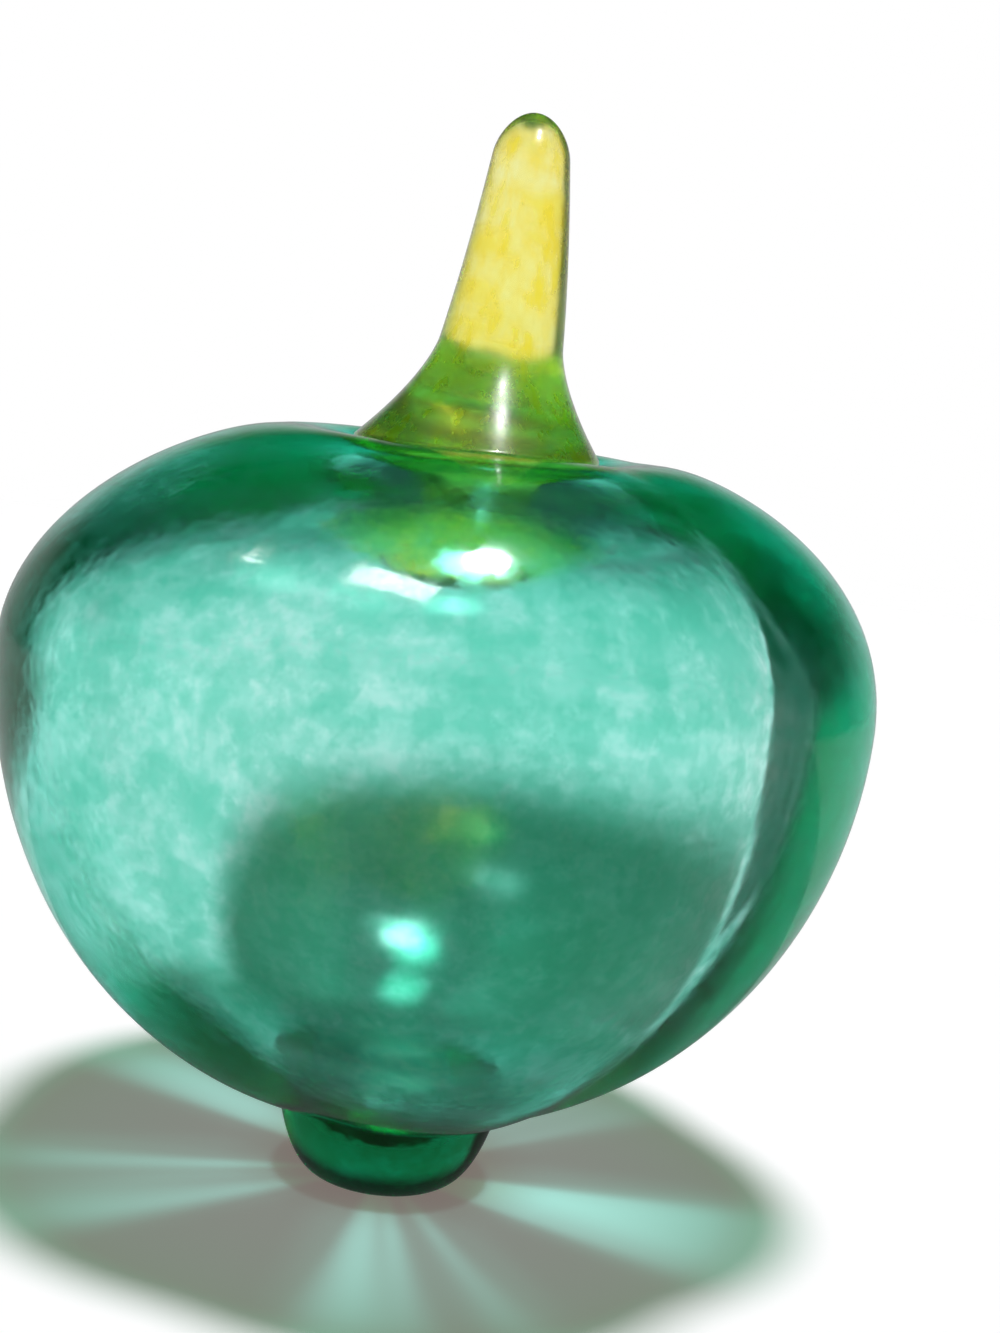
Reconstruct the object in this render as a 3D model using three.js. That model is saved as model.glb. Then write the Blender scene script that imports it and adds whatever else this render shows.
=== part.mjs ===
// A blown glass gourd: a hollow lobed body, a solid stem drawn out over the body's blow hole, and a
// solid button foot that it stands on. Millimetres, +Z up. The origin is the centre of the foot's flat
// underside, the front lobe faces -Y, and azimuths are counted from -Y towards +X.
import * as THREE from "three";

// Body: its girth, heights and lobes
const BODY_RADIUS = 40; // at a lobe's crest, at the widest girth
const SHOULDER_HEIGHT = 23.7; // from the widest girth up to the crown, before the crown is dished
const BELLY_DEPTH = 41.8; // from the widest girth down to the bottom of the bubble
const SHOULDER_FULLNESS = 0.86; // 1 gives an ellipse, and less gives a squarer shoulder
const BELLY_FULLNESS = 0.98;
const CROWN_DISH_DEPTH = 8; // the hollow that the stem sits in
const CROWN_DISH_RADIUS = 11.8;
const CROWN_DISH_FLATNESS = 2.5; // 2 gives a bell, and more gives a flatter bottom with steeper sides
const CROWN_SWAY = 1.1; // how far the crown's centre stands off the axis through the foot, towards +X
const LOBES = 5;
const FRONT_LOBE_AZIMUTH = 11.4; // degrees
const CREASE_DEPTH = 3; // of the deepest crease, at the widest girth
const DEEPEST_AZIMUTH = 40; // degrees, where the hand pressed creases go deepest
const CREASE_UNEVENNESS = 0.65; // share of the depth that a crease on the far side lacks
const CREASE_ROUNDING = 0.2; // 0 gives a sharp valley
const CREASE_FADE = 4; // a higher power carries the creases closer to the stem and the foot
const CREASE_HEIGHT_SHARE = 0.6; // how much a crease draws in the height, beside the girth

// Body: its glass wall, and the hole that the blowpipe leaves in the crown
const SIDE_WALL = 2.6; // on a lobe's crest
const CREASE_WALL = 1; // in the deepest crease
const CROWN_WALL = 4.4;
const BASE_WALL = 2.6;
const BLOW_HOLE_RADIUS = 5;

// Stem: a flared base, a leaning tapered shank and a domed end
const STEM_HEIGHT = 29.9; // from the flare's edge to the tip
const STEM_FLARE_RADIUS = 11.2;
const STEM_FLARE_HEIGHT = 9.5; // over which the flare runs into the shank
const STEM_FLARE_CURVE = 1.6; // 1 gives a cone, and more gives a hollow sweep
const STEM_NECK_RADIUS = 6.8; // of the shank's taper at the flare's edge
const STEM_TIP_RADIUS = 3; // of the shank's taper at the tip
const STEM_DOME_HEIGHT = 3.9;
const STEM_LEAN = 1.8; // how far the tip stands off the crown's centre, towards +X
const STEM_LEAN_CURVE = 2.5; // 1 gives a straight lean, and more bends it close to the crown
const STEM_LIP = 1.6; // thickness of the flare's edge, most of it sunk in the dish
const STEM_BEAD = 1.2; // the drop that sinks through the blow hole

// Foot: a button with a flat underside
const FOOT_HEIGHT = 6; // from the underside to the bottom of its dish
const FOOT_FLAT_RADIUS = 5.8;
const FOOT_HEEL_RADIUS = 8.9; // where the rounded edge would meet the ground
const FOOT_RIM_RADIUS = 10.6; // where its side meets the body

const FIT_GAP = 0.3; // between glass that is fused on the real piece

// How finely the surfaces are divided
const SIDES_PER_LOBE = 16;
const BODY_SIDES = LOBES * SIDES_PER_LOBE;
const STEM_SIDES = 40;
const FOOT_SIDES = 48;
const OUTER_ROWS = 32;
const INNER_ROWS = 26;
const SEAT_ROWS = 6;
const BEAD_ROWS = 3;
const SHANK_ROWS = 22;
const DOME_ROWS = 7;
const FLANK_ROWS = 9;

const TEAL_GLASS = { color: 0x5fc2aa, roughness: 0.08, metalness: 0, transparent: true, opacity: 0.6 };
const YELLOW_GLASS = { color: 0xe6cf3a, roughness: 0.08, metalness: 0, transparent: true, opacity: 0.75 };
const GREEN_GLASS = { color: 0x0c5f41, roughness: 0.08, metalness: 0, transparent: true, opacity: 0.85 };

const QUARTER_TURN = Math.PI / 2;
const FRONT_LOBE = THREE.MathUtils.degToRad(FRONT_LOBE_AZIMUTH);
const DEEP_SIDE = THREE.MathUtils.degToRad(DEEPEST_AZIMUTH);
const EQUATOR_HEIGHT = FOOT_HEIGHT + FIT_GAP + BELLY_DEPTH;

const OUTER_SKIN = {
  radius: BODY_RADIUS,
  shoulder: SHOULDER_HEIGHT,
  belly: BELLY_DEPTH,
  crease: CREASE_DEPTH,
};
const INNER_SKIN = {
  radius: BODY_RADIUS - SIDE_WALL,
  shoulder: SHOULDER_HEIGHT - CROWN_WALL,
  belly: BELLY_DEPTH - BASE_WALL,
  crease: CREASE_DEPTH - (SIDE_WALL - CREASE_WALL),
};

// Evenly spaced values from start to end, both included.
function spaced(start, end, steps) {
  return Array.from({ length: steps + 1 }, (_, i) => THREE.MathUtils.lerp(start, end, i / steps));
}

function onCircle(radius, azimuth, z) {
  return new THREE.Vector3(radius * Math.sin(azimuth), -radius * Math.cos(azimuth), z);
}

// One ring of points round the axis, each from its azimuth.
function ring(sides, pointAt) {
  return Array.from({ length: sides }, (_, i) => pointAt(FRONT_LOBE + (i / sides) * 2 * Math.PI));
}

// Closes a stack of rings into one solid, from a first point on the axis to a last one. The rings run
// up the outside, and may turn over an edge and come down inside.
function ringSolid(firstPoint, rings, lastPoint) {
  const sides = rings[0].length;
  const points = [firstPoint, ...rings.flat(), lastPoint];
  const lastIndex = points.length - 1;
  const indexOf = (row, side) => 1 + row * sides + (side % sides);
  const faces = [];
  for (let side = 0; side < sides; side++) {
    faces.push(0, indexOf(0, side + 1), indexOf(0, side));
    for (let row = 0; row < rings.length - 1; row++) {
      const near = indexOf(row, side);
      const nearNext = indexOf(row, side + 1);
      const far = indexOf(row + 1, side);
      const farNext = indexOf(row + 1, side + 1);
      faces.push(near, nearNext, farNext, near, farNext, far);
    }
    faces.push(lastIndex, indexOf(rings.length - 1, side), indexOf(rings.length - 1, side + 1));
  }
  const geometry = new THREE.BufferGeometry().setFromPoints(points);
  geometry.setIndex(faces);
  geometry.computeVertexNormals();
  return geometry;
}

// 1 on a lobe's crest and 0 in the crease between two lobes.
function lobeSwell(azimuth) {
  const wave = Math.cos((LOBES / 2) * (azimuth - FRONT_LOBE));
  const crest = Math.hypot(1, CREASE_ROUNDING) - CREASE_ROUNDING;
  return (Math.hypot(wave, CREASE_ROUNDING) - CREASE_ROUNDING) / crest;
}

// The share of the deepest crease's depth that a crease has on this side of the bubble.
function creaseShare(azimuth) {
  return 1 - (CREASE_UNEVENNESS * (1 - Math.cos(azimuth - DEEP_SIDE))) / 2;
}

// A point of the bubble's outer or inner skin, from the centre of its widest girth. Latitude runs from
// a quarter turn below that girth to a quarter turn above it.
function skinPoint(skin, latitude, azimuth) {
  const rise = Math.sin(latitude);
  const upper = latitude > 0;
  const fullness = upper ? SHOULDER_FULLNESS : BELLY_FULLNESS;
  const girth = skin.radius * Math.max(0, Math.cos(latitude)) ** fullness;
  const dish = upper ? CROWN_DISH_DEPTH * Math.exp(-((girth / CROWN_DISH_RADIUS) ** CROWN_DISH_FLATNESS)) : 0;
  const height = (upper ? skin.shoulder : skin.belly) * rise - dish;
  const reach = 1 - Math.abs(rise) ** CREASE_FADE;
  const depth = skin.crease * creaseShare(azimuth) * (1 - lobeSwell(azimuth));
  const pinch = (depth / skin.radius) * reach;
  const sway = upper ? CROWN_SWAY * THREE.MathUtils.smoothstep(rise, 0, 1) : 0;
  const point = onCircle(girth * (1 - pinch), azimuth, height * (1 - CREASE_HEIGHT_SHARE * pinch));
  point.x += sway;
  return point;
}

// The latitude at which a lobe's crest has this girth, on the shoulder or on the belly.
function shoulderLatitude(skin, girth) {
  return Math.acos((girth / skin.radius) ** (1 / SHOULDER_FULLNESS));
}

function bellyLatitude(skin, girth) {
  return -Math.acos((girth / skin.radius) ** (1 / BELLY_FULLNESS));
}

// The hollow bubble. Its one opening is the blow hole in the crown, which the stem's root fills.
function bodyGeometry() {
  const outerHole = shoulderLatitude(OUTER_SKIN, BLOW_HOLE_RADIUS);
  const innerHole = shoulderLatitude(INNER_SKIN, BLOW_HOLE_RADIUS);
  const outside = spaced(-QUARTER_TURN, outerHole, OUTER_ROWS).slice(1);
  const inside = spaced(innerHole, -QUARTER_TURN, INNER_ROWS).slice(0, -1);
  const skinRing = (skin, latitude) => ring(BODY_SIDES, (azimuth) => skinPoint(skin, latitude, azimuth));
  const rings = [
    ...outside.map((latitude) => skinRing(OUTER_SKIN, latitude)),
    ...inside.map((latitude) => skinRing(INNER_SKIN, latitude)),
  ];
  const outerBottom = new THREE.Vector3(0, 0, -OUTER_SKIN.belly);
  const innerBottom = new THREE.Vector3(0, 0, -INNER_SKIN.belly);
  return ringSolid(outerBottom, rings, innerBottom);
}

// The shank's radius at a height above the flare's edge: an even taper, closed by the domed end, and
// spread at its base by the flare.
function shankRadius(height) {
  const taper = THREE.MathUtils.lerp(STEM_NECK_RADIUS, STEM_TIP_RADIUS, height / STEM_HEIGHT);
  const intoDome = Math.max(0, (height - STEM_HEIGHT + STEM_DOME_HEIGHT) / STEM_DOME_HEIGHT);
  const dome = Math.sqrt(Math.max(0, 1 - intoDome ** 2));
  const spread = Math.max(0, 1 - height / STEM_FLARE_HEIGHT) ** STEM_FLARE_CURVE;
  return taper * dome + (STEM_FLARE_RADIUS - STEM_NECK_RADIUS) * spread;
}

// How far the shank's centre has moved off the crown's centre at a height above the flare's edge.
function shankLean(height) {
  return STEM_LEAN * (1 - (1 - height / STEM_HEIGHT) ** STEM_LEAN_CURVE);
}

// The stem, from below the crown's centre, level with the body's widest girth. Its root goes down the
// blow hole, and its flare's underside follows the dished crown.
function stemGeometry() {
  const rootRadius = BLOW_HOLE_RADIUS - FIT_GAP;
  const seat = (girth, azimuth) => {
    const point = skinPoint(OUTER_SKIN, shoulderLatitude(OUTER_SKIN, girth), azimuth);
    return onCircle(girth, azimuth, point.z + FIT_GAP);
  };
  const rootEnd = skinPoint(INNER_SKIN, shoulderLatitude(INNER_SKIN, BLOW_HOLE_RADIUS), FRONT_LOBE).z;
  const beadAngles = spaced(QUARTER_TURN, 0, BEAD_ROWS).slice(1);
  const bead = beadAngles.map((angle) =>
    ring(STEM_SIDES, (azimuth) =>
      onCircle(rootRadius * Math.cos(angle), azimuth, rootEnd - STEM_BEAD * Math.sin(angle)),
    ),
  );
  const underside = spaced(rootRadius, STEM_FLARE_RADIUS, SEAT_ROWS).map((girth) =>
    ring(STEM_SIDES, (azimuth) => seat(girth, azimuth)),
  );
  const edge = ring(STEM_SIDES, (azimuth) => seat(STEM_FLARE_RADIUS, azimuth));
  const edgeLevel = edge.reduce((sum, point) => sum + point.z, 0) / STEM_SIDES + STEM_LIP;
  const domeStart = STEM_HEIGHT - STEM_DOME_HEIGHT;
  const domeAngles = spaced(0, QUARTER_TURN, DOME_ROWS).slice(1, -1);
  const heights = [
    ...spaced(0, domeStart, SHANK_ROWS),
    ...domeAngles.map((angle) => domeStart + STEM_DOME_HEIGHT * Math.sin(angle)),
  ];
  const shank = heights.map((height) => {
    const settle = Math.max(0, 1 - height / STEM_FLARE_HEIGHT);
    const lean = new THREE.Vector3(shankLean(height), 0, 0);
    return ring(STEM_SIDES, (azimuth) => {
      const uneven = (seat(STEM_FLARE_RADIUS, azimuth).z + STEM_LIP - edgeLevel) * settle;
      return onCircle(shankRadius(height), azimuth, edgeLevel + height + uneven).add(lean);
    });
  });
  const rootTip = new THREE.Vector3(0, 0, rootEnd - STEM_BEAD);
  const stemTip = new THREE.Vector3(shankLean(STEM_HEIGHT), 0, edgeLevel + STEM_HEIGHT);
  return ringSolid(rootTip, [...bead, ...underside, ...shank], stemTip);
}

// The foot, from the centre of its underside. Its side is one curve from the flat to the rim, and its
// top is a dish that follows the belly.
function footGeometry() {
  const rimLatitude = bellyLatitude(OUTER_SKIN, FOOT_RIM_RADIUS);
  const dishPoint = (latitude, azimuth) => {
    const point = skinPoint(OUTER_SKIN, latitude, azimuth);
    point.z += EQUATOR_HEIGHT - FIT_GAP;
    return point;
  };
  const dishRing = (latitude) => ring(FOOT_SIDES, (azimuth) => dishPoint(latitude, azimuth));
  const flankAt = spaced(0, 1, FLANK_ROWS).slice(0, -1);
  const flank = flankAt.map((share) =>
    ring(FOOT_SIDES, (azimuth) => {
      const rim = dishPoint(rimLatitude, azimuth);
      const curve = new THREE.QuadraticBezierCurve(
        new THREE.Vector2(FOOT_FLAT_RADIUS, 0),
        new THREE.Vector2(FOOT_HEEL_RADIUS, 0),
        new THREE.Vector2(Math.hypot(rim.x, rim.y), rim.z),
      );
      const place = curve.getPoint(share);
      return onCircle(place.x, azimuth, place.y);
    }),
  );
  const dish = spaced(rimLatitude, -QUARTER_TURN, SEAT_ROWS).slice(0, -1).map(dishRing);
  const underside = new THREE.Vector3(0, 0, 0);
  const dishBottom = new THREE.Vector3(0, 0, FOOT_HEIGHT);
  return ringSolid(underside, [...flank, ...dish], dishBottom);
}

function piece(name, geometry, finish, place) {
  const mesh = new THREE.Mesh(geometry, new THREE.MeshStandardMaterial(finish));
  mesh.name = name;
  mesh.position.copy(place);
  return mesh;
}

const girthCentre = new THREE.Vector3(0, 0, EQUATOR_HEIGHT);
const belowCrown = new THREE.Vector3(CROWN_SWAY, 0, EQUATOR_HEIGHT);

const gourd = new THREE.Group();
gourd.add(piece("foot_button", footGeometry(), GREEN_GLASS, new THREE.Vector3()));
gourd.add(piece("body_shell", bodyGeometry(), TEAL_GLASS, girthCentre));
gourd.add(piece("stem", stemGeometry(), YELLOW_GLASS, belowCrown));

export default gourd;
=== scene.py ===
"""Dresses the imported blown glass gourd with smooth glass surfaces, its finishes, a pale floor and a camera.

Lengths of the gourd are in millimetres until they go into a mesh, which is in metres.
"""

import logging
import math
from dataclasses import dataclass
from enum import Enum

import bpy
import numpy as np
from mathutils import Matrix, Vector


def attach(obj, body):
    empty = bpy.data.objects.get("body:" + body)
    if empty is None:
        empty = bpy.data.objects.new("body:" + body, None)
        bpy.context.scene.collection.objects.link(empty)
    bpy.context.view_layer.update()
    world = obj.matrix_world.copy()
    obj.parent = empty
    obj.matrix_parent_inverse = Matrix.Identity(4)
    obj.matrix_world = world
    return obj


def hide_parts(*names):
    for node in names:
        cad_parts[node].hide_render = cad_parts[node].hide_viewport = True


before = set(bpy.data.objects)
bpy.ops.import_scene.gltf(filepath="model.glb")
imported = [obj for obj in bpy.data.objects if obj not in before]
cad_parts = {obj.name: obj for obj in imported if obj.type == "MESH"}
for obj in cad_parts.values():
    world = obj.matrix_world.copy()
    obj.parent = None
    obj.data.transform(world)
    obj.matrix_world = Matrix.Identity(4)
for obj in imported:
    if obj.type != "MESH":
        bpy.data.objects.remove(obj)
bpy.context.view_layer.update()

LOG = logging.getLogger("gourd")
MM = 0.001
QUARTER_TURN = math.pi / 2
FULL_TURN = 2 * math.pi
PHOTO_WIDTH = 1000
PHOTO_HEIGHT = 1333
LIGHT_BOUNCES = 32

Socket = bpy.types.NodeSocket
Tree = bpy.types.NodeTree
Colour = tuple[float, float, float, float]
# A mix node keeps one pair of inputs for numbers and another for colours, told apart by their places.
NUMBER_INPUTS = (2, 3)
COLOUR_INPUTS = (6, 7)
COLOUR_RESULT = 2


class Slot(Enum):
    """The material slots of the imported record."""

    TEAL = "teal_glass"
    YELLOW = "yellow_glass"
    GREEN = "green_glass"


def linear(code: str) -> tuple[float, float, float]:
    """Turns an sRGB hex colour into linear light.

    Args:
        code: six hex digits after a hash sign.

    Returns:
        Red, green and blue from 0 to 1.
    """
    shares = [int(code[i : i + 2], 16) / 255 for i in (1, 3, 5)]
    return tuple(s / 12.92 if s <= 0.04045 else ((s + 0.055) / 1.055) ** 2.4 for s in shares)


def rgba(code: str) -> Colour:
    """Gives a hex colour as a solid linear colour for a socket.

    Args:
        code: six hex digits after a hash sign.

    Returns:
        Red, green, blue and a full alpha.
    """
    return (*linear(code), 1.0)


def empty_material(name: str) -> bpy.types.Material:
    """Makes a material with no nodes yet.

    Args:
        name: the material's name.

    Returns:
        The material.
    """
    made = bpy.data.materials.new(name)
    made.use_nodes = True
    made.node_tree.nodes.clear()
    return made


def add_object(name: str, data: bpy.types.ID) -> bpy.types.Object:
    """Makes an object and puts it into the scene.

    Args:
        name: the object's name.
        data: its mesh, lamp or camera.

    Returns:
        The object, at the origin.
    """
    made = bpy.data.objects.new(name, data)
    bpy.context.scene.collection.objects.link(made)
    return made


def add_node(tree: Tree, kind: str, inputs: dict | None = None, **settings: object) -> bpy.types.Node:
    """Adds one node with its settings, its socket values and its links.

    Args:
        tree: the node tree that takes it.
        kind: the node's type name, without "ShaderNode".
        inputs: a value or an output socket for each input, by name or number.
        settings: the node's own properties.

    Returns:
        The new node.
    """
    node = tree.nodes.new("ShaderNode" + kind)
    for name, value in settings.items():
        setattr(node, name, value)
    for name, value in (inputs or {}).items():
        if isinstance(value, Socket):
            tree.links.new(value, node.inputs[name])
        else:
            node.inputs[name].default_value = value
    return node


def add_math(tree: Tree, operation: str, *values: float | Socket) -> Socket:
    """Adds one step of arithmetic.

    Args:
        tree: the node tree that takes it.
        operation: what is done with the values.
        values: numbers or output sockets, in the operation's order.

    Returns:
        The result's socket.
    """
    return add_node(tree, "Math", dict(enumerate(values)), operation=operation).outputs[0]


def add_ramp(
    tree: Tree, value: Socket, start: float, end: float, low: float = 0.0, high: float = 1.0
) -> Socket:
    """Adds a smooth ramp.

    Args:
        tree: the node tree that takes it.
        value: what the ramp follows.
        start: the value at which it leaves its low level.
        end: the value at which it reaches its high level.
        low: the level up to the start.
        high: the level from the end on.

    Returns:
        The result's socket.
    """
    return add_node(
        tree,
        "MapRange",
        {"Value": value, "From Min": start, "From Max": end, "To Min": low, "To Max": high},
        interpolation_type="SMOOTHSTEP",
    ).outputs[0]


def add_tint(tree: Tree, share: Socket, first: Colour | Socket, second: Colour | Socket) -> Socket:
    """Adds a blend of two colours.

    Args:
        tree: the node tree that takes it.
        share: how much of the second colour shows, from 0 to 1.
        first: a colour or an output socket.
        second: a colour or an output socket.

    Returns:
        The result's socket.
    """
    inputs = {"Factor": share, **dict(zip(COLOUR_INPUTS, (first, second)))}
    return add_node(tree, "Mix", inputs, data_type="RGBA").outputs[COLOUR_RESULT]


def add_choice(tree: Tree, share: Socket, first: float | Socket, second: float | Socket) -> Socket:
    """Adds a blend of two numbers.

    Args:
        tree: the node tree that takes it.
        share: how much of the second number counts, from 0 to 1.
        first: a number or an output socket.
        second: a number or an output socket.

    Returns:
        The result's socket.
    """
    inputs = {"Factor": share, **dict(zip(NUMBER_INPUTS, (first, second)))}
    return add_node(tree, "Mix", inputs, data_type="FLOAT").outputs[0]


def on_circle(radius: np.ndarray, azimuth: np.ndarray, height: np.ndarray) -> np.ndarray:
    """Places points round the axis, with azimuths counted from -Y towards +X.

    Args:
        radius: distances from the axis.
        azimuth: angles round it.
        height: heights along it.

    Returns:
        The points, as one more array axis of x, y and z.
    """
    radius, azimuth, height = np.broadcast_arrays(radius, azimuth, height)
    return np.stack([radius * np.sin(azimuth), -radius * np.cos(azimuth), height], axis=-1)


def ring_solid(
    name: str, first: list[float], rings: np.ndarray, last: list[float], crease: float
) -> bpy.types.Object:
    """Closes a stack of rings into one solid, from a first point on the axis to a last one.

    The rings run up the outside, and may turn over an edge and come down inside. Neighbouring rings are
    joined by four-sided faces, and the first and the last ring by a fan to their point.

    Args:
        name: the piece's name.
        first: the point that closes the first ring, in millimetres.
        rings: points by ring, side and x, y, z, in millimetres.
        last: the point that closes the last ring, in millimetres.
        crease: the angle in degrees past which an edge stays sharp.

    Returns:
        The piece, at the origin.
    """
    count, sides = rings.shape[:2]
    points = np.concatenate([[first], rings.reshape(-1, 3), [last]]) * MM
    index = 1 + np.arange(count * sides).reshape(count, sides)
    beside = np.roll(index, -1, axis=1)
    walls = np.stack([index[:-1], beside[:-1], beside[1:], index[1:]], axis=-1).reshape(-1, 4)
    low_fan = np.stack([np.zeros(sides, int), beside[0], index[0]], axis=-1)
    high_fan = np.stack([np.full(sides, count * sides + 1), index[-1], beside[-1]], axis=-1)
    mesh = bpy.data.meshes.new(name)
    mesh.from_pydata(points.tolist(), [], walls.tolist() + low_fan.tolist() + high_fan.tolist())
    mesh.shade_smooth()
    mesh.set_sharp_from_angle(angle=math.radians(crease))
    return add_object(name, mesh)


@dataclass(frozen=True)
class GlassFinish:
    """Fire polished soda glass, coloured through its depth, with colour grain melted into its skin.

    The depth colour is what white light keeps after passing through the depth, so thick glass is darker.
    The grain is a fine noise and a cloudy one, added and cut off softly, and stretched where it was drawn.
    Light that glass focuses isn't traced, so the colour of its shadow stands for it: one colour where the
    skin is steep, one where it is flat, and bright streaks that run away from the axis.
    """

    name: str
    depth_colour: str
    depth_mm: float
    clear_tint: str
    grain_tint: str
    grain_mm: float
    cloud_mm: float
    drawn: float
    softness: float
    polish: float
    haze: float
    ripple_mm: float
    ripple_depth_mm: float
    pebble_mm: float
    pebble_depth_mm: float
    clarity: float
    coat: float
    steep_shadow: str
    flat_shadow: str
    streak_shadow: str
    index: float = 1.5
    coat_roughness: float = 0.03
    noise_roughness: float = 0.6
    grain_detail: float = 3.0
    cloud_detail: float = 2.0
    ripple_detail: float = 1.0
    pebble_detail: float = 0.0
    streak_scale: float = 3.0
    streak_detail: float = 2.0
    streak_waves: float = 5.0
    streak_turn: float = 1.37
    streak_wave_height: float = 0.15
    streak_start: float = 0.46
    streak_end: float = 0.7

    def noise(self, tree: Tree, place: Socket, size_mm: float, detail: float) -> Socket:
        """Adds a noise with features of one size.

        Args:
            tree: the material's node tree.
            place: where on the piece it is read.
            size_mm: the features' size.
            detail: how many times finer features are added.

        Returns:
            The noise's socket, from 0 to 1.
        """
        return add_node(
            tree,
            "TexNoise",
            {
                "Vector": place,
                "Scale": 1 / (size_mm * MM),
                "Detail": detail,
                "Roughness": self.noise_roughness,
            },
        ).outputs["Fac"]

    def surface(self, tree: Tree, place: Socket) -> Socket:
        """Adds the polished skin with its grain, its ripple and its fine pebbling.

        Args:
            tree: the material's node tree.
            place: where on the piece it is read.

        Returns:
            The surface's socket.
        """
        drawn = add_node(tree, "Mapping", {"Vector": place, "Scale": (1, 1, 1 / self.drawn)}).outputs[0]
        grain = self.noise(tree, drawn, self.grain_mm, self.grain_detail)
        cloud = self.noise(tree, drawn, self.cloud_mm, self.cloud_detail)
        both = add_math(tree, "ADD", grain, cloud)
        share = add_ramp(tree, both, 1 - self.softness, 1 + self.softness)
        tint = add_tint(tree, share, rgba(self.clear_tint), rgba(self.grain_tint))
        rough = add_node(
            tree, "MapRange", {"Value": share, "To Min": self.polish, "To Max": self.polish + self.haze}
        ).outputs[0]
        ripple = self.noise(tree, place, self.ripple_mm, self.ripple_detail)
        pebble = self.noise(tree, place, self.pebble_mm, self.pebble_detail)
        fine = add_math(tree, "MULTIPLY", pebble, self.pebble_depth_mm)
        relief = add_math(tree, "MULTIPLY_ADD", ripple, self.ripple_depth_mm, fine)
        bump = add_node(tree, "Bump", {"Height": relief, "Strength": 1.0, "Distance": MM}).outputs[0]
        return add_node(
            tree,
            "BsdfPrincipled",
            {
                "Base Color": tint,
                "Roughness": rough,
                "IOR": self.index,
                "Transmission Weight": self.clarity,
                "Coat Weight": self.coat,
                "Coat Roughness": self.coat_roughness,
                "Normal": bump,
            },
        ).outputs[0]

    def shadow_colour(self, tree: Tree, seat: bpy.types.Node) -> Socket:
        """Adds the colour of the light that the glass lets through to the floor.

        The streaks are a noise that changes only round the axis, with a wave added that has one crest to
        a lobe, cut off softly. They fade out where the skin is steep.

        Args:
            tree: the material's node tree.
            seat: the node that gives the place and the skin's slope.

        Returns:
            The colour's socket.
        """
        spot = add_node(tree, "SeparateXYZ", {0: seat.outputs["Object"]}).outputs
        way = add_node(tree, "CombineXYZ", {"X": spot["X"], "Y": spot["Y"]}).outputs[0]
        way = add_node(tree, "VectorMath", {0: way}, operation="NORMALIZE").outputs["Vector"]
        rays = add_node(
            tree, "TexNoise", {"Vector": way, "Scale": self.streak_scale, "Detail": self.streak_detail}
        ).outputs["Fac"]
        turn = add_math(tree, "ARCTAN2", spot["Y"], spot["X"])
        turn = add_math(tree, "MULTIPLY_ADD", turn, self.streak_waves, self.streak_turn)
        wave = add_math(tree, "COSINE", turn)
        rays = add_math(tree, "MULTIPLY_ADD", wave, self.streak_wave_height, rays)
        streak = add_ramp(tree, rays, self.streak_start, self.streak_end)
        slope = add_node(tree, "SeparateXYZ", {0: seat.outputs["Normal"]}).outputs["Z"]
        level = add_math(tree, "ABSOLUTE", slope)
        shade = add_tint(tree, level, rgba(self.steep_shadow), rgba(self.flat_shadow))
        streak = add_math(tree, "MULTIPLY", streak, level)
        return add_tint(tree, streak, shade, rgba(self.streak_shadow))

    def absorption(self, tree: Tree) -> Socket:
        """Adds the colour inside the glass, which deepens with the way that light goes through it.

        Args:
            tree: the material's node tree.

        Returns:
            The volume's socket.
        """
        depth = self.depth_mm * MM
        losses = [-math.log(c) / depth for c in linear(self.depth_colour)]
        density = max(losses)
        kept = tuple(1 - loss / density for loss in losses)
        return add_node(tree, "VolumeAbsorption", {"Color": (*kept, 1.0), "Density": density}).outputs[0]

    def material(self) -> bpy.types.Material:
        """Makes the node material of this glass.

        Returns:
            The material, which lets lamp light through as a tinted shadow.
        """
        made = empty_material(self.name)
        tree = made.node_tree
        seat = add_node(tree, "TexCoord")
        glass = self.surface(tree, seat.outputs["Object"])
        through = add_node(tree, "BsdfTransparent", {"Color": self.shadow_colour(tree, seat)}).outputs[0]
        in_shadow = add_node(tree, "LightPath").outputs["Is Shadow Ray"]
        shown = add_node(tree, "MixShader", {0: in_shadow, 1: glass, 2: through}).outputs[0]
        add_node(tree, "OutputMaterial", {"Surface": shown, "Volume": self.absorption(tree)})
        return made


@dataclass(frozen=True)
class Skin:
    """One skin of the bubble: its radius, its heights above and below the girth, and its deepest crease."""

    radius: float
    shoulder: float
    belly: float
    crease: float


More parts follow.
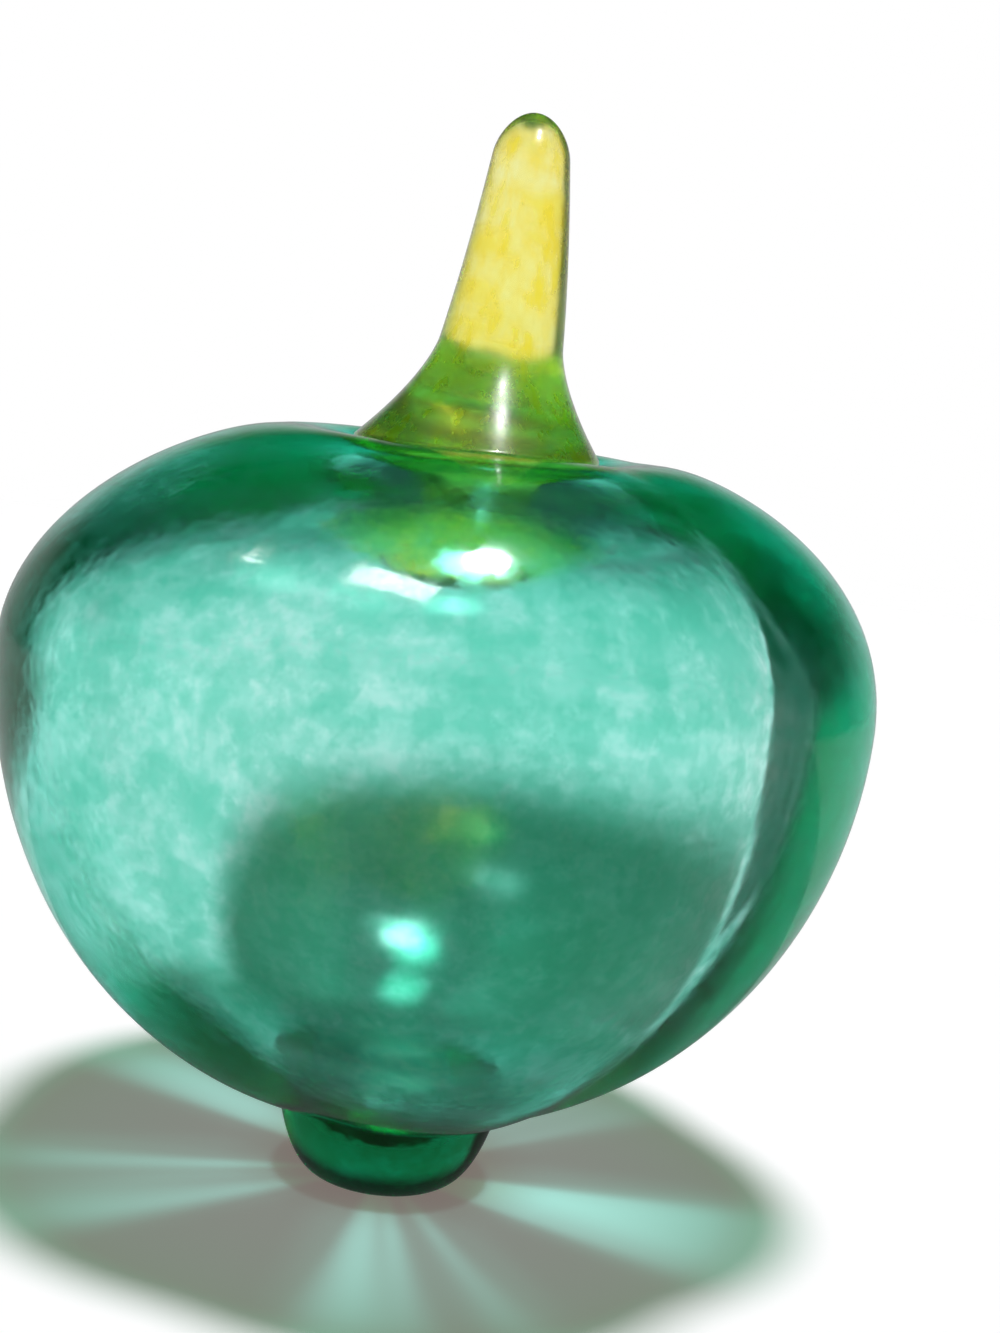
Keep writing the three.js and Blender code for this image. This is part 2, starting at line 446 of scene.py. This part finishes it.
@dataclass
class Bubble:
    """The hollow lobed body, blown from one gather of teal glass."""

    girth_height: float = 48.1
    outer: Skin = Skin(40.0, 23.7, 41.8, 3.0)
    inner: Skin = Skin(37.4, 19.3, 39.2, 1.4)
    shoulder_fullness: float = 0.86
    belly_fullness: float = 0.98
    dish_depth: float = 8.0
    dish_radius: float = 11.8
    dish_flatness: float = 2.5
    crown_sway: float = 1.1
    lobes: int = 5
    front_lobe: float = math.radians(11.4)
    crease_rounding: float = 0.2
    deep_side: float = math.radians(40.0)
    crease_unevenness: float = 0.65
    crease_fade: float = 4.0
    crease_height_share: float = 0.6
    hole_radius: float = 5.0
    sides: int = 250
    outer_rows: int = 130
    inner_rows: int = 100
    sharp_angle: float = 50.0

    def azimuths(self, sides: int) -> np.ndarray:
        """Spreads a ring's azimuths evenly, from the front lobe's crest.

        Args:
            sides: how many points the ring has.

        Returns:
            Their angles round the axis.
        """
        return self.front_lobe + np.arange(sides) / sides * FULL_TURN

    def swell(self, azimuth: np.ndarray) -> np.ndarray:
        """Tells how far an azimuth is from the creases.

        A cosine with one half wave to a lobe is folded up at the creases, and its fold is rounded.

        Args:
            azimuth: angles round the axis.

        Returns:
            1 on a lobe's crest and 0 in a crease.
        """
        wave = np.cos(self.lobes / 2 * (azimuth - self.front_lobe))
        crest = math.hypot(1, self.crease_rounding) - self.crease_rounding
        return (np.hypot(wave, self.crease_rounding) - self.crease_rounding) / crest

    def points(self, skin: Skin, latitude: np.ndarray, azimuth: np.ndarray) -> np.ndarray:
        """Works out points of one skin.

        The girth is the radius times the latitude's cosine, raised to the half's fullness. The height is
        the sine times the half's height, less a bell-shaped dish in the crown. A crease draws both in,
        most at the widest girth and not at all at the poles. Above the girth, the centre moves smoothly
        off the axis by the crown's sway.

        Args:
            skin: the outer or the inner skin.
            latitude: angles from a quarter turn below the girth to a quarter turn above it.
            azimuth: angles round the axis.

        Returns:
            The points, in millimetres.
        """
        rise = np.sin(latitude)
        upper = latitude > 0
        fullness = np.where(upper, self.shoulder_fullness, self.belly_fullness)
        girth = skin.radius * np.maximum(np.cos(latitude), 0) ** fullness
        bell = np.exp(-((girth / self.dish_radius) ** self.dish_flatness))
        dish = np.where(upper, self.dish_depth * bell, 0)
        height = np.where(upper, skin.shoulder, skin.belly) * rise - dish
        reach = 1 - np.abs(rise) ** self.crease_fade
        depth = skin.crease * (1 - self.crease_unevenness * (1 - np.cos(azimuth - self.deep_side)) / 2)
        pinch = depth / skin.radius * reach * (1 - self.swell(azimuth))
        lifted = self.girth_height + height * (1 - self.crease_height_share * pinch)
        found = on_circle(girth * (1 - pinch), azimuth, lifted)
        found[..., 0] += self.crown_sway * np.where(upper, rise**2 * (3 - 2 * rise), 0)
        return found

    def crown_latitude(self, skin: Skin, girth: np.ndarray) -> np.ndarray:
        """Finds where on the shoulder a lobe's crest has a girth.

        Args:
            skin: the outer or the inner skin.
            girth: distances from the axis.

        Returns:
            The latitudes.
        """
        return np.arccos((np.asarray(girth) / skin.radius) ** (1 / self.shoulder_fullness))

    def base_latitude(self, skin: Skin, girth: np.ndarray) -> np.ndarray:
        """Finds where on the belly a lobe's crest has a girth.

        Args:
            skin: the outer or the inner skin.
            girth: distances from the axis.

        Returns:
            The latitudes.
        """
        return -np.arccos((np.asarray(girth) / skin.radius) ** (1 / self.belly_fullness))

    def build(self) -> bpy.types.Object:
        """Builds the bubble, up its outer skin to the blow hole and down its inner skin.

        Returns:
            The body's piece.
        """
        outer_top = self.crown_latitude(self.outer, self.hole_radius)
        inner_top = self.crown_latitude(self.inner, self.hole_radius)
        outside = np.linspace(-QUARTER_TURN, outer_top, self.outer_rows + 1)[1:, None]
        inside = np.linspace(inner_top, -QUARTER_TURN, self.inner_rows + 1)[:-1, None]
        azimuth = self.azimuths(self.sides)[None, :]
        rings = np.concatenate(
            [self.points(self.outer, outside, azimuth), self.points(self.inner, inside, azimuth)]
        )
        bottom = self.girth_height - np.array([self.outer.belly, self.inner.belly])
        return ring_solid("gourd_body", [0, 0, bottom[0]], rings, [0, 0, bottom[1]], self.sharp_angle)

    def dress(self, piece: bpy.types.Object) -> None:
        """Gives the body its teal glass.

        Args:
            piece: the body's piece.
        """
        piece.data.materials.append(TEAL_GLASS.material())


@dataclass
class Stem:
    """The solid stem, dropped on the crown as a hot bit of yellow glass and drawn out."""

    bubble: Bubble
    height: float = 29.9
    flare_radius: float = 11.2
    flare_height: float = 9.5
    flare_curve: float = 1.6
    neck_radius: float = 6.8
    tip_radius: float = 3.0
    dome_height: float = 3.9
    lean: float = 1.8
    lean_curve: float = 2.5
    lip: float = 1.6
    bead: float = 1.2
    fusion: float = 0.25
    sides: int = 120
    seat_rows: int = 24
    bead_rows: int = 10
    shank_rows: int = 110
    dome_rows: int = 30
    sharp_angle: float = 60.0

    def radius(self, height: np.ndarray) -> np.ndarray:
        """Works out the shank's radius: an even taper, domed at its end and spread at its base.

        Args:
            height: heights above the flare's edge.

        Returns:
            The radii.
        """
        taper = self.neck_radius + (self.tip_radius - self.neck_radius) * height / self.height
        into_dome = np.maximum(0, (height - self.height + self.dome_height) / self.dome_height)
        dome = np.sqrt(np.maximum(0, 1 - into_dome**2))
        spread = np.maximum(0, 1 - height / self.flare_height) ** self.flare_curve
        return taper * dome + (self.flare_radius - self.neck_radius) * spread

    def seat(self, girth: np.ndarray, azimuth: np.ndarray) -> np.ndarray:
        """Finds the crown under the flare, sunk by the depth that the hot glass fuses.

        Args:
            girth: distances from the axis.
            azimuth: angles round it.

        Returns:
            The heights.
        """
        latitude = self.bubble.crown_latitude(self.bubble.outer, girth)
        return self.bubble.points(self.bubble.outer, latitude, azimuth)[..., 2] - self.fusion

    def build(self) -> bpy.types.Object:
        """Builds the stem, from its root's bead in the bubble over the flare and up the shank.

        Returns:
            The stem's piece.
        """
        azimuth = self.bubble.azimuths(self.sides)[None, :]
        root_radius = self.bubble.hole_radius + self.fusion
        inner = self.bubble.inner
        hole = self.bubble.crown_latitude(inner, root_radius)
        root_end = float(self.bubble.points(inner, hole, np.array(self.bubble.front_lobe))[2])
        turn = np.linspace(QUARTER_TURN, 0, self.bead_rows + 1)[1:, None]
        bead = on_circle(root_radius * np.cos(turn), azimuth, root_end - self.bead * np.sin(turn))
        girth = np.linspace(root_radius, self.flare_radius, self.seat_rows)[:, None]
        under = on_circle(girth, azimuth, self.seat(girth, azimuth))
        edge = self.seat(np.array([[self.flare_radius]]), azimuth)
        level = edge.mean() + self.lip
        dome_start = self.height - self.dome_height
        straight = np.linspace(0, dome_start, self.shank_rows)
        bend = np.linspace(0, QUARTER_TURN, self.dome_rows + 1)[1:-1]
        rounded = dome_start + self.dome_height * np.sin(bend)
        rise = np.concatenate([straight, rounded])[:, None]
        settle = np.maximum(0, 1 - rise / self.flare_height)
        shank = on_circle(self.radius(rise), azimuth, level + rise + (edge + self.lip - level) * settle)
        shank[..., 0] += self.lean * (1 - (1 - rise / self.height) ** self.lean_curve)
        rings = np.concatenate([bead, under, shank])
        sway = self.bubble.crown_sway
        rings[..., 0] += sway
        root_tip = [sway, 0, root_end - self.bead]
        stem_tip = [sway + self.lean, 0, level + self.height]
        return ring_solid("gourd_stem", root_tip, rings, stem_tip, self.sharp_angle)

    def dress(self, piece: bpy.types.Object) -> None:
        """Gives the stem its yellow glass.

        Args:
            piece: the stem's piece.
        """
        piece.data.materials.append(YELLOW_GLASS.material())


@dataclass
class Foot:
    """The solid button foot, pressed under the bubble from a bit of dark green glass."""

    bubble: Bubble
    flat_radius: float = 5.8
    heel_radius: float = 8.9
    rim_radius: float = 10.6
    fusion: float = 0.25
    sides: int = 160
    flat_rows: int = 4
    flank_rows: int = 50
    dish_rows: int = 20
    sharp_angle: float = 50.0

    def build(self) -> bpy.types.Object:
        """Builds the foot, from its flat underside up one curve to the rim and down its dish.

        The flank is a curve of second order from the flat's edge, along the ground, to the rim.

        Returns:
            The foot's piece.
        """
        bubble = self.bubble
        azimuth = bubble.azimuths(self.sides)[None, :]
        rim_latitude = bubble.base_latitude(bubble.outer, self.rim_radius)
        sink = np.linspace(rim_latitude, -QUARTER_TURN, self.dish_rows + 1)[:-1, None]
        dish = bubble.points(bubble.outer, sink, azimuth)
        dish[..., 2] += self.fusion
        rim_radius = np.hypot(dish[:1, :, 0], dish[:1, :, 1])
        rim_height = dish[:1, :, 2]
        flat_radius = np.linspace(0, self.flat_radius, self.flat_rows + 1)[1:-1, None]
        flat = on_circle(flat_radius, azimuth, 0.0)
        share = np.linspace(0, 1, self.flank_rows + 1)[:-1, None]
        radius = (1 - share) ** 2 * self.flat_radius + 2 * share * (1 - share) * self.heel_radius
        flank = on_circle(radius + share**2 * rim_radius, azimuth, share**2 * rim_height)
        rings = np.concatenate([flat, flank, dish])
        top = bubble.girth_height - bubble.outer.belly + self.fusion
        return ring_solid("gourd_foot", [0, 0, 0], rings, [0, 0, top], self.sharp_angle)

    def dress(self, piece: bpy.types.Object) -> None:
        """Gives the foot its green glass.

        Args:
            piece: the foot's piece.
        """
        piece.data.materials.append(GREEN_GLASS.material())


# Blown soda glass with teal powder melted into it: clouds and specks of colour, a soft gloss, rippled.
TEAL_GLASS = GlassFinish(
    name="teal_blown_glass",
    depth_colour="#D0F8F2",
    depth_mm=2.6,
    clear_tint="#FFFFFF",
    grain_tint="#C2F0E6",
    grain_mm=1.8,
    cloud_mm=5.0,
    drawn=1.0,
    softness=0.14,
    polish=0.055,
    haze=0.075,
    ripple_mm=11.0,
    ripple_depth_mm=0.05,
    pebble_mm=1.0,
    pebble_depth_mm=0.006,
    clarity=1.0,
    coat=0.0,
    steep_shadow="#8CCEB8",
    flat_shadow="#D0CCCA",
    streak_shadow="#FFFFFF",
)
# Drawn soda glass with yellow powder: golden streaks along the pull, a waxy glow inside, a wet gloss.
YELLOW_GLASS = GlassFinish(
    name="yellow_drawn_glass",
    depth_colour="#FFFFA8",
    depth_mm=10.0,
    clear_tint="#FFFFF0",
    grain_tint="#FFE94C",
    grain_mm=1.2,
    cloud_mm=4.0,
    drawn=2.2,
    softness=0.26,
    polish=0.2,
    haze=0.1,
    ripple_mm=7.0,
    ripple_depth_mm=0.05,
    pebble_mm=1.5,
    pebble_depth_mm=0.006,
    clarity=0.97,
    coat=1.0,
    steep_shadow="#C8C8C0",
    flat_shadow="#C8C8C0",
    streak_shadow="#C8C8C0",
)
# Pressed soda glass, solid and so almost bottle green, with a few cloudy specks and a hard gloss.
GREEN_GLASS = GlassFinish(
    name="green_pressed_glass",
    depth_colour="#98E3D6",
    depth_mm=2.6,
    clear_tint="#FFFFFF",
    grain_tint="#9FD9BE",
    grain_mm=1.5,
    cloud_mm=5.0,
    drawn=1.0,
    softness=0.2,
    polish=0.03,
    haze=0.04,
    ripple_mm=5.0,
    ripple_depth_mm=0.1,
    pebble_mm=1.0,
    pebble_depth_mm=0.02,
    clarity=1.0,
    coat=0.0,
    steep_shadow="#D0DCD0",
    flat_shadow="#D0DCD0",
    streak_shadow="#D0DCD0",
)


@dataclass(frozen=True)
class PaintedShadeCard:
    """An upright dark green card behind the gourd and to one side, in metres, which only the glass shows. It
    is painted shade: the glass shows it as dark bands in the lobes.

    Light that has crossed fewer skins of glass than the least count, or more than the most, passes it.
    Its sides and its lower edge fade out softly.
    """

    name: str
    behind: float
    left: float
    right: float
    low: float
    top: float
    least_skins: int
    most_skins: int
    fade: float = 0.02
    # painted shade: the dark green that the glass shows where the card stands
    colour: str = "#064428"
    count_slack: float = 0.1

    def paper(self) -> bpy.types.Material:
        """Makes the card's paper, whose dark green is painted shade for the glass and which is clear to all
        light that it isn't meant for.

        Returns:
            The material.
        """
        made = empty_material(f"{self.name}_paper")
        tree = made.node_tree
        path = add_node(tree, "LightPath").outputs
        middle = (self.least_skins + self.most_skins) / 2
        reach = (self.most_skins - self.least_skins) / 2 + self.count_slack
        within = add_math(tree, "COMPARE", path["Transmission Depth"], middle, reach)
        spot = add_node(tree, "SeparateXYZ", {0: add_node(tree, "TexCoord").outputs["Object"]}).outputs
        rise = add_math(tree, "SUBTRACT", spot["Z"], self.low)
        from_left = add_math(tree, "SUBTRACT", spot["X"], self.left)
        from_right = add_math(tree, "SUBTRACT", self.right, spot["X"])
        edge = add_math(tree, "MINIMUM", from_left, from_right)
        edge = add_math(tree, "MINIMUM", edge, rise)
        shown = add_math(tree, "MULTIPLY", within, add_ramp(tree, edge, 0.0, self.fade))
        shown = add_math(tree, "MULTIPLY", shown, path["Is Transmission Ray"])
        # painted shade: a dark green glow, seen only through the glass
        dark = add_node(tree, "Emission", {"Color": rgba(self.colour), "Strength": 1.0}).outputs[0]
        clear = add_node(tree, "BsdfTransparent").outputs[0]
        seen = add_node(tree, "MixShader", {0: shown, 1: clear, 2: dark}).outputs[0]
        add_node(tree, "OutputMaterial", {"Surface": seen})
        return made

    def build(self) -> None:
        """Stands the card up as part of the stage."""
        corners = [
            (self.left, self.behind, self.low),
            (self.right, self.behind, self.low),
            (self.right, self.behind, self.top),
            (self.left, self.behind, self.top),
        ]
        paper = self.paper()
        mesh = bpy.data.meshes.new(self.name)
        mesh.from_pydata(corners, [], [(0, 1, 2, 3)])
        mesh.materials.append(paper)
        card = add_object(self.name, mesh)
        card.visible_camera = False
        card.visible_shadow = False
        card.visible_diffuse = False


@dataclass
class Studio:
    """The floors, the cards of painted shade, the surround and the lamps round the gourd, all of them stage
    only.

    The camera sees one whole floor. The glass sees a front half and a back half just under it, each lit
    by a lamp of its own, so that a shadow of the gourd shows through the body.
    """

    floor_radius: float = 0.9
    floor_fade: float = 0.4
    floor_colour: str = "#FBFBFB"
    floor_seam: float = 0.037
    floor_step: float = 0.0002
    rim_points: int = 49
    cool_paper: str = "#F5FCFD"
    warm_glow: str = "#FFE2DE"
    seen_glow: float = 0.2
    front_glow: float = 0.08
    belt: tuple[float, float, float, float] = (0.14, 0.42, 0.72, 0.95)
    dark: float = 0.02
    ceiling: float = 0.8
    few_skins: float = 2.5
    few_level: float = 0.1
    many_skins: float = 4.5
    many_level: float = 1.0
    reflected: float = 0.06
    limb_level: float = 0.4
    limb_start: float = 0.5
    limb_end: float = 0.9
    scatter_count: float = 0.5
    ambient: float = 0.015
    lamp_width: float = math.radians(9.0)
    top_way: tuple[float, float] = (10.0, 88.0)
    top_level: float = 0.87
    front_way: tuple[float, float] = (-6.0, 22.0)
    front_level: float = 1.03
    spark_ways: tuple[tuple[float, float], ...] = ((22.0, 56.0), (34.0, 67.0))
    spark_level: float = 0.35
    spark_width: float = math.radians(1.2)
    strip_place: tuple[float, float, float] = (-0.116, -0.095, 0.334)
    strip_run: tuple[float, float, float] = (0.343, -0.322, 0.094)
    strip_aim: tuple[float, float, float] = (-0.006, -0.033, 0.062)
    strip_size: tuple[float, float] = (0.12, 0.045)
    strip_power: float = 0.3
    # cards of painted shade, which the glass shows as dark bands at the left limb and in the right and lower
    # right lobes
    cards: tuple[PaintedShadeCard, ...] = (
        PaintedShadeCard(
            "left_shade_card",
            behind=0.07,
            left=-0.22,
            right=-0.052,
            low=-0.01,
            top=0.11,
            least_skins=2,
            most_skins=3,
        ),
        PaintedShadeCard(
            "right_shade_card",
            behind=0.15,
            left=0.056,
            right=0.22,
            low=-0.02,
            top=0.125,
            least_skins=3,
            most_skins=5,
            fade=0.006,
        ),
        PaintedShadeCard(
            "low_shade_card",
            behind=0.06,
            left=0.045,
            right=0.2,
            low=-0.03,
            top=0.03,
            least_skins=3,
            most_skins=5,
            fade=0.006,
        ),
    )

    def floor_part(self, name: str, azimuth: np.ndarray, paper: bpy.types.Material) -> bpy.types.Object:
        """Lays one part of the round floor.

        Args:
            name: the part's name.
            azimuth: the angles of its rim's points round the floor's centre.
            paper: the floor's material.

        Returns:
            The flat part.
        """
        mesh = bpy.data.meshes.new(name)
        rim = on_circle(np.array(self.floor_radius), azimuth, np.array(0.0))
        rim[:, 1] += self.floor_seam
        mesh.from_pydata(rim.tolist(), [], [list(range(len(rim)))])
        mesh.materials.append(paper)
        part = add_object(name, mesh)
        return part

    def paper(
        self, name: str, paper_colour: str, mirror_level: float, glow_colour: str, glow: float
    ) -> bpy.types.Material:
        """Makes the floor's pale paper, which fades out into the white surround.

        Args:
            name: the paper's name.
            paper_colour: what it shows of the lamp's light.
            mirror_level: how bright it is in the glass's reflections.
            glow_colour: the room's light in its shadows.
            glow: how strong that light is.

        Returns:
            The material.
        """
        made = empty_material(name)
        tree = made.node_tree
        place = add_node(tree, "TexCoord").outputs["Object"]
        far = add_node(tree, "VectorMath", {0: place}, operation="LENGTH").outputs["Value"]
        share = add_ramp(tree, far, self.floor_radius * self.floor_fade, self.floor_radius)
        path = add_node(tree, "LightPath").outputs
        mirrored = add_node(
            tree,
            "Math",
            {0: path["Is Glossy Ray"], 1: path["Is Transmission Ray"]},
            operation="SUBTRACT",
            use_clamp=True,
        ).outputs[0]
        dimmed = tuple(c * mirror_level for c in linear(paper_colour))
        colour = add_tint(tree, mirrored, rgba(paper_colour), (*dimmed, 1.0))
        paper = add_node(tree, "BsdfDiffuse", {"Color": colour}).outputs[0]
        # painted light: the paper glows a little, standing for the room's light that fills its shadows
        lift = add_node(tree, "Emission", {"Color": rgba(glow_colour), "Strength": glow}).outputs[0]
        paper = add_node(tree, "AddShader", {0: paper, 1: lift}).outputs[0]
        clear = add_node(tree, "BsdfTransparent").outputs[0]
        mixed = add_node(tree, "MixShader", {0: share, 1: paper, 2: clear}).outputs[0]
        add_node(tree, "OutputMaterial", {"Surface": mixed})
        return made

    def surround(self) -> None:
        """Lights the surround, which is white to the camera and dim to the floor.

        Through the glass it is white at the horizon, dark in a belt above it and pale overhead, but light
        that has crossed few skins or many finds it no darker than a set level. In the glass's reflections
        it has the same belt and is dim, least so behind the gourd.
        """
        world = bpy.data.worlds.new("surround")
        bpy.context.scene.world = world
        world.use_nodes = True
        tree = world.node_tree
        tree.nodes.clear()
        way = add_node(tree, "TexCoord").outputs["Generated"]
        spot = add_node(tree, "SeparateXYZ", {0: way}).outputs
        belt_low, belt_dark, belt_end, belt_top = self.belt
        rising = add_ramp(tree, spot["Z"], belt_low, belt_dark, 1.0, self.dark)
        overhead = add_ramp(tree, spot["Z"], belt_end, belt_top, 0.0, self.ceiling)
        belted = add_math(tree, "ADD", rising, overhead)
        path = add_node(tree, "LightPath").outputs
        few = add_math(tree, "LESS_THAN", path["Transmission Depth"], self.few_skins)
        many = add_math(tree, "GREATER_THAN", path["Transmission Depth"], self.many_skins)
        least = add_math(tree, "MULTIPLY", many, self.many_level)
        least = add_math(tree, "MULTIPLY_ADD", few, self.few_level, least)
        through = add_math(tree, "MAXIMUM", belted, least)
        behind = add_node(
            tree,
            "MapRange",
            {
                "Value": spot["Y"],
                "From Min": self.limb_start,
                "From Max": self.limb_end,
                "To Min": self.reflected,
                "To Max": self.limb_level,
            },
        ).outputs[0]
        mirrored = add_math(tree, "MULTIPLY", belted, behind)
        mirrored = add_math(tree, "MULTIPLY", mirrored, path["Is Glossy Ray"])
        shown = add_choice(tree, path["Is Transmission Ray"], mirrored, through)
        scattered = add_math(tree, "GREATER_THAN", path["Diffuse Depth"], self.scatter_count)
        level = add_choice(tree, scattered, shown, self.ambient)
        strength = add_choice(tree, path["Is Camera Ray"], level, 1.0)
        back = add_node(tree, "Background", {"Color": (1, 1, 1, 1), "Strength": strength}).outputs[0]
        add_node(tree, "OutputWorld", {"Surface": back})

    def lamp(
        self,
        name: str,
        way: tuple[float, float],
        level: float,
        lit: list[bpy.types.Object],
        shading: list[bpy.types.Object],
    ) -> bpy.types.Object:
        """Hangs one far round lamp, strong enough to bring white paper on the floor to a level.

        Args:
            name: the lamp's name.
            way: its azimuth from -Y towards +X and its elevation, in degrees.
            level: how bright it makes white paper on the floor.
            lit: the objects that it lights.
            shading: the objects that cast its shadow.

        Returns:
            The lamp.
        """
        turn, tilt = (math.radians(a) for a in way)
        data = bpy.data.lights.new(name, "SUN")
        data.angle = self.lamp_width
        data.energy = level * math.pi / math.sin(tilt)
        lamp = add_object(name, data)
        outwards = math.cos(tilt)
        towards = Vector((math.sin(turn) * outwards, -math.cos(turn) * outwards, math.sin(tilt)))
        lamp.rotation_euler = towards.to_track_quat("Z", "Y").to_euler()
        for use, members in (("receiver_collection", lit), ("blocker_collection", shading)):
            group = bpy.data.collections.new(f"{name}_{use}")
            for member in members:
                group.objects.link(member)
            setattr(lamp.light_linking, use, group)
        return lamp

    def strip(self, lit: bpy.types.Object) -> None:
        """Hangs a strip lamp up to the left, which draws a short white arc on the shoulder's skin.

        Args:
            lit: the only piece that it lights.
        """
        data = bpy.data.lights.new("strip_lamp", "AREA")
        data.shape = "RECTANGLE"
        data.size, data.size_y = self.strip_size
        data.energy = self.strip_power
        lamp = add_object("strip_lamp", data)
        place = Vector(self.strip_place)
        back = (place - Vector(self.strip_aim)).normalized()
        run = Vector(self.strip_run)
        run = (run - back * run.dot(back)).normalized()
        turn = Matrix((run, back.cross(run), back)).transposed()
        lamp.matrix_world = Matrix.Translation(place) @ turn.to_4x4()
        lamp.visible_transmission = False
        group = bpy.data.collections.new("strip_lamp_lit")
        group.objects.link(lit)
        lamp.light_linking.receiver_collection = group

    def build(self, pieces: dict[str, bpy.types.Object]) -> None:
        """Builds the cards of painted shade, the floors, the surround and the lamps.

        Args:
            pieces: the finished pieces, by the node that each stands for.
        """
        for card in self.cards:
            card.build()
        half_turn = np.linspace(0, math.pi, self.rim_points)
        full_turn = np.concatenate([half_turn, math.pi + half_turn[1:-1]])
        floor = self.floor_colour
        seen_paper = self.paper("seen_paper", self.cool_paper, 1.0, self.warm_glow, self.seen_glow)
        front_paper = self.paper("front_paper", floor, self.reflected, floor, self.front_glow)
        back_paper = self.paper("back_paper", floor, self.limb_level, floor, 0.0)
        whole = self.floor_part("floor_seen", full_turn, seen_paper)
        front = self.floor_part("floor_front", half_turn - QUARTER_TURN, front_paper)
        back = self.floor_part("floor_back", half_turn + QUARTER_TURN, back_paper)
        for half in (front, back):
            half.visible_camera = False
            half.location.z = -self.floor_step
        whole.visible_transmission = False
        whole.visible_glossy = False
        whole.visible_diffuse = False
        whole.visible_shadow = False
        self.surround()
        body = pieces["body_shell"]
        foot = pieces["foot_button"]
        glass = list(pieces.values())
        self.lamp("top_lamp", self.top_way, self.top_level, [whole, front, body, foot], glass)
        front_lamp = self.lamp("front_lamp", self.front_way, self.front_level, [back], [body, foot])
        front_lamp.visible_glossy = False
        front_lamp.visible_transmission = False
        for i, way in enumerate(self.spark_ways):
            spark = self.lamp(f"spark_lamp_{i}", way, self.spark_level, [pieces["stem"]], [])
            spark.data.angle = self.spark_width
            spark.visible_transmission = False
        self.strip(body)


@dataclass
class PhotoCamera:
    """The camera, which sees the gourd from the front and a little above, held askew."""

    lens: float = 54.0
    sensor: float = 36.0
    nearest: float = 0.01
    distance: float = 184.4
    elevation: float = math.radians(8.3)
    roll: float = math.radians(6.7)
    girth_height: float = Bubble.girth_height
    girth_pixel: tuple[float, float] = (438.0, 674.0)

    def build(self) -> None:
        """Places the camera so that the girth's centre falls on its pixel and the gourd tips clockwise."""
        ahead = Vector((0, math.cos(self.elevation), -math.sin(self.elevation)))
        level_side = Vector((1, 0, 0))
        level_up = level_side.cross(ahead)
        side = level_side * math.cos(self.roll) + level_up * math.sin(self.roll)
        up = side.cross(ahead)
        focal = self.lens / self.sensor * PHOTO_HEIGHT
        across = (PHOTO_WIDTH / 2 - self.girth_pixel[0]) / focal
        above = (self.girth_pixel[1] - PHOTO_HEIGHT / 2) / focal
        aim = (ahead + side * across + up * above).normalized()
        right = (side - aim * side.dot(aim)).normalized()
        top = right.cross(aim)
        data = bpy.data.cameras.new("camera")
        data.lens = self.lens
        data.sensor_width = self.sensor
        data.clip_start = self.nearest
        camera = add_object("camera", data)
        turn = Matrix((right, top, -aim)).transposed()
        place = (Vector((0, 0, self.girth_height)) - ahead * self.distance) * MM
        camera.matrix_world = Matrix.Translation(place) @ turn.to_4x4()
        bpy.context.scene.camera = camera


def take_over(piece: bpy.types.Object, node: str) -> None:
    """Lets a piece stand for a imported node.

    Args:
        piece: the new piece.
        node: the node's name.
    """
    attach(piece, "root")
    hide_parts(node)
    LOG.info("%s stands for %s with %d faces", piece.name, node, len(piece.data.polygons))


def main() -> None:
    """Builds the camera, the three pieces of glass and the studio."""
    logging.basicConfig(level=logging.INFO)
    bpy.context.scene.view_settings.view_transform = "Standard"
    cycles = bpy.context.scene.cycles
    cycles.max_bounces = LIGHT_BOUNCES
    cycles.transmission_bounces = LIGHT_BOUNCES
    cycles.glossy_bounces = LIGHT_BOUNCES
    cycles.caustics_refractive = False
    cycles.caustics_reflective = False
    PhotoCamera().build()
    bubble = Bubble()
    pieces = {}
    for assembly, node, slot in (
        (bubble, "body_shell", Slot.TEAL),
        (Stem(bubble), "stem", Slot.YELLOW),
        (Foot(bubble), "foot_button", Slot.GREEN),
    ):
        piece = assembly.build()
        assembly.dress(piece)
        take_over(piece, node)
        pieces[node] = piece
    Studio().build(pieces)


if __name__ == "__main__":
    main()
